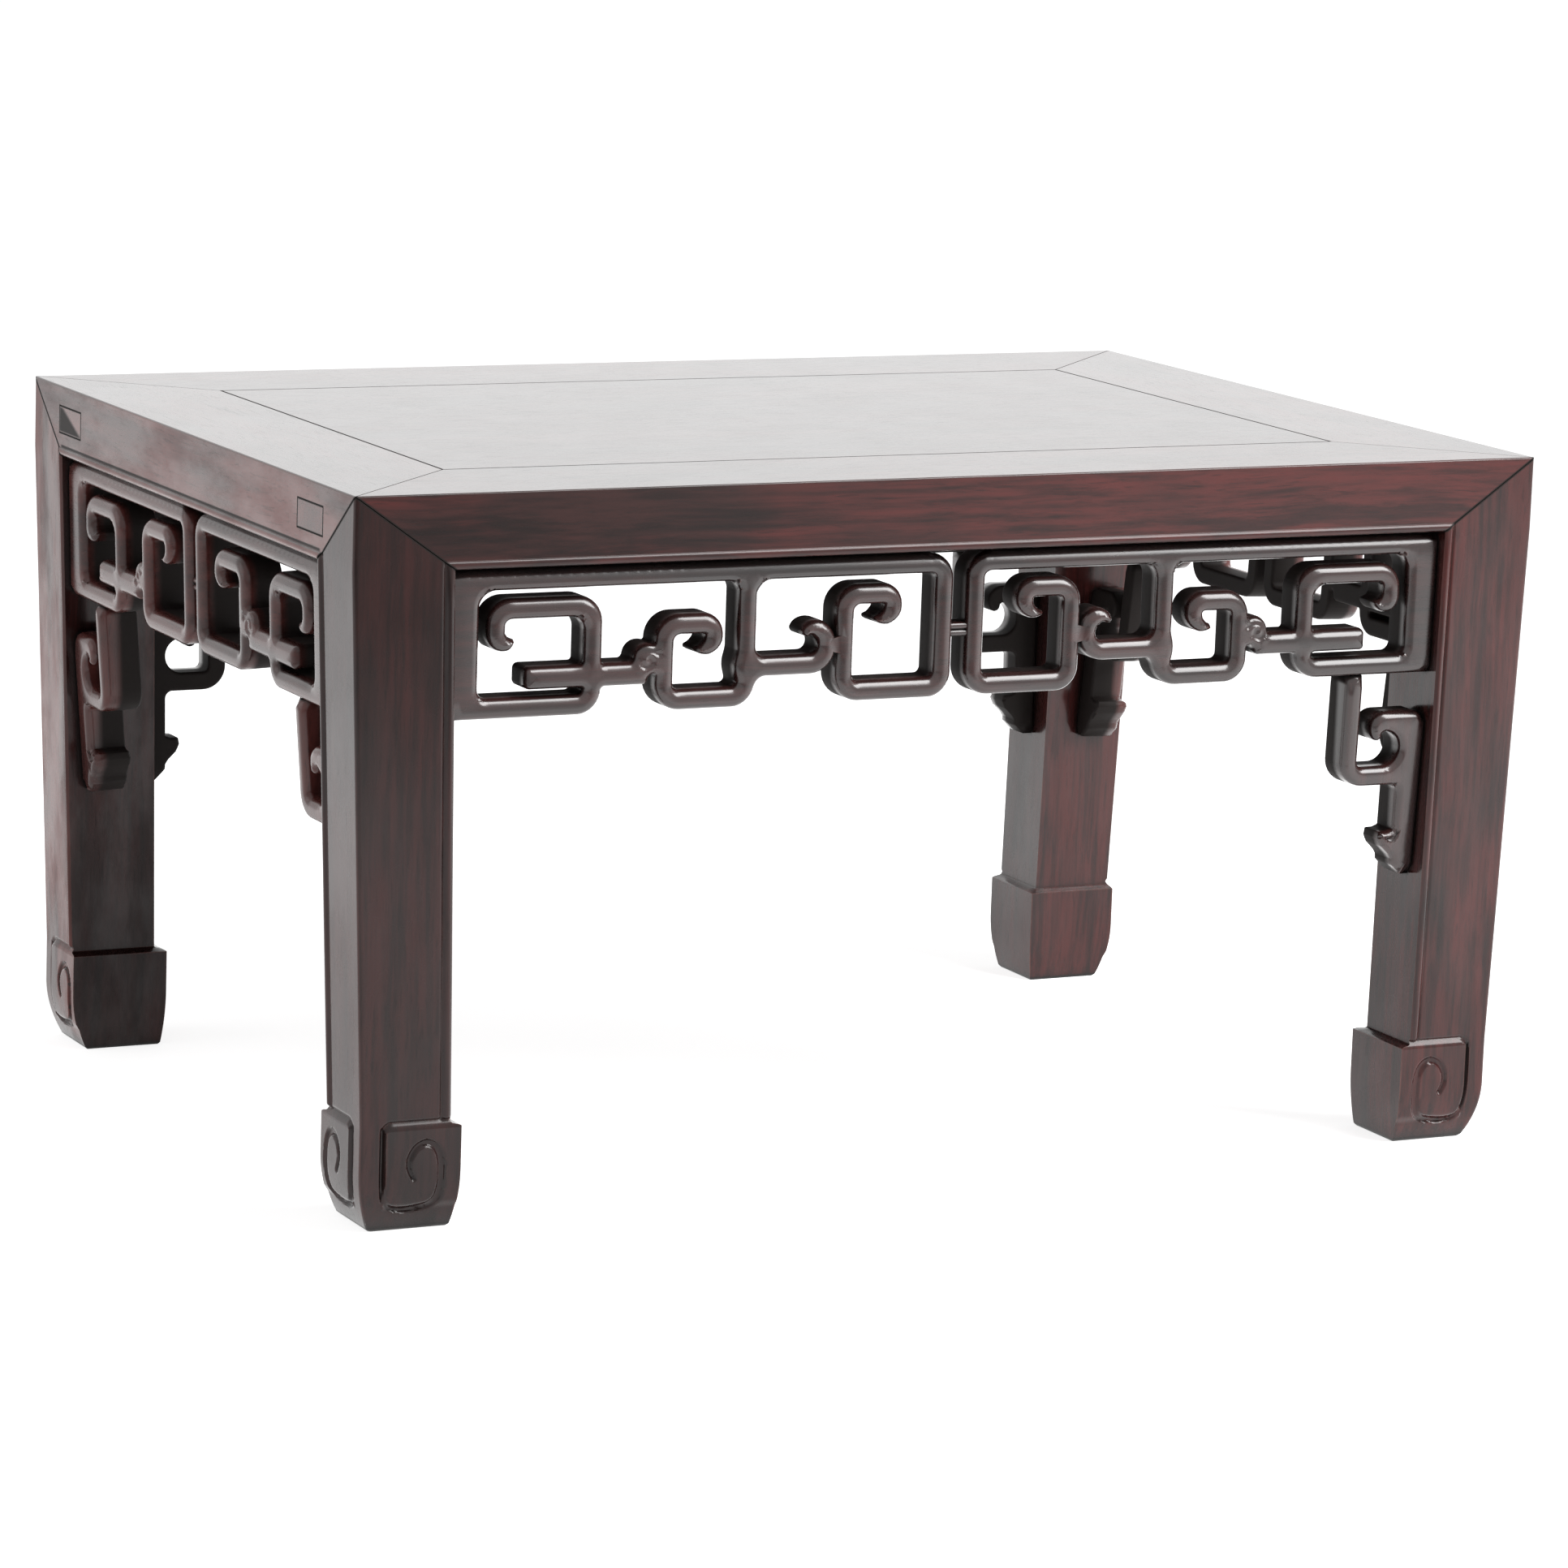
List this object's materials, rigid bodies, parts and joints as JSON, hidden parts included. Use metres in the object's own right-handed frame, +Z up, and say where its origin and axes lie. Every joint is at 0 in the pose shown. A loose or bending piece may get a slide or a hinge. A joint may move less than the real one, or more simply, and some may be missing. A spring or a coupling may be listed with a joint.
{
  "type": "kang table",
  "caption": "Low hardwood kang table with a mitred frame and floating panel, openwork scroll aprons, scroll brackets and carved square feet.",
  "frame": {"origin": "centre of the table's footprint on the floor", "axes": "+X along the length to the right as seen from the front, -Y to the front, +Z up"},
  "size_m": [0.556, 0.388, 0.305],
  "materials": {
    "frame_wood": "polished dark red-brown hardwood, horizontal grain, satin lacquer",
    "panel_wood": "polished dark red-brown hardwood, grain along the length, glossy",
    "leg_wood": "polished dark red-brown hardwood, upright grain, satin lacquer",
    "fret_wood": "polished near-black hardwood with worn, brighter edges",
    "batten_wood": "planed dark hardwood, unpolished",
    "pin_wood": "plain turned hardwood dowel"
  },
  "bodies": {
    "root": {"back_apron": "fret_wood", "back_left_bracket": "fret_wood", "back_left_leg": "leg_wood", "back_rail": "frame_wood", "back_right_bracket": "fret_wood", "back_right_leg": "leg_wood", "bracket_pins": "pin_wood", "front_apron": "fret_wood", "front_left_leg": "leg_wood", "front_rail": "frame_wood", "front_right_bracket": "fret_wood", "front_right_leg": "leg_wood", "left_apron": "fret_wood", "left_back_bracket": "fret_wood", "left_batten": "batten_wood", "left_front_bracket": "fret_wood", "left_rail": "frame_wood", "right_apron": "fret_wood", "right_back_bracket": "fret_wood", "right_batten": "batten_wood", "right_front_bracket": "fret_wood", "right_rail": "frame_wood", "top_panel": "panel_wood"}
  },
  "joints": []
}
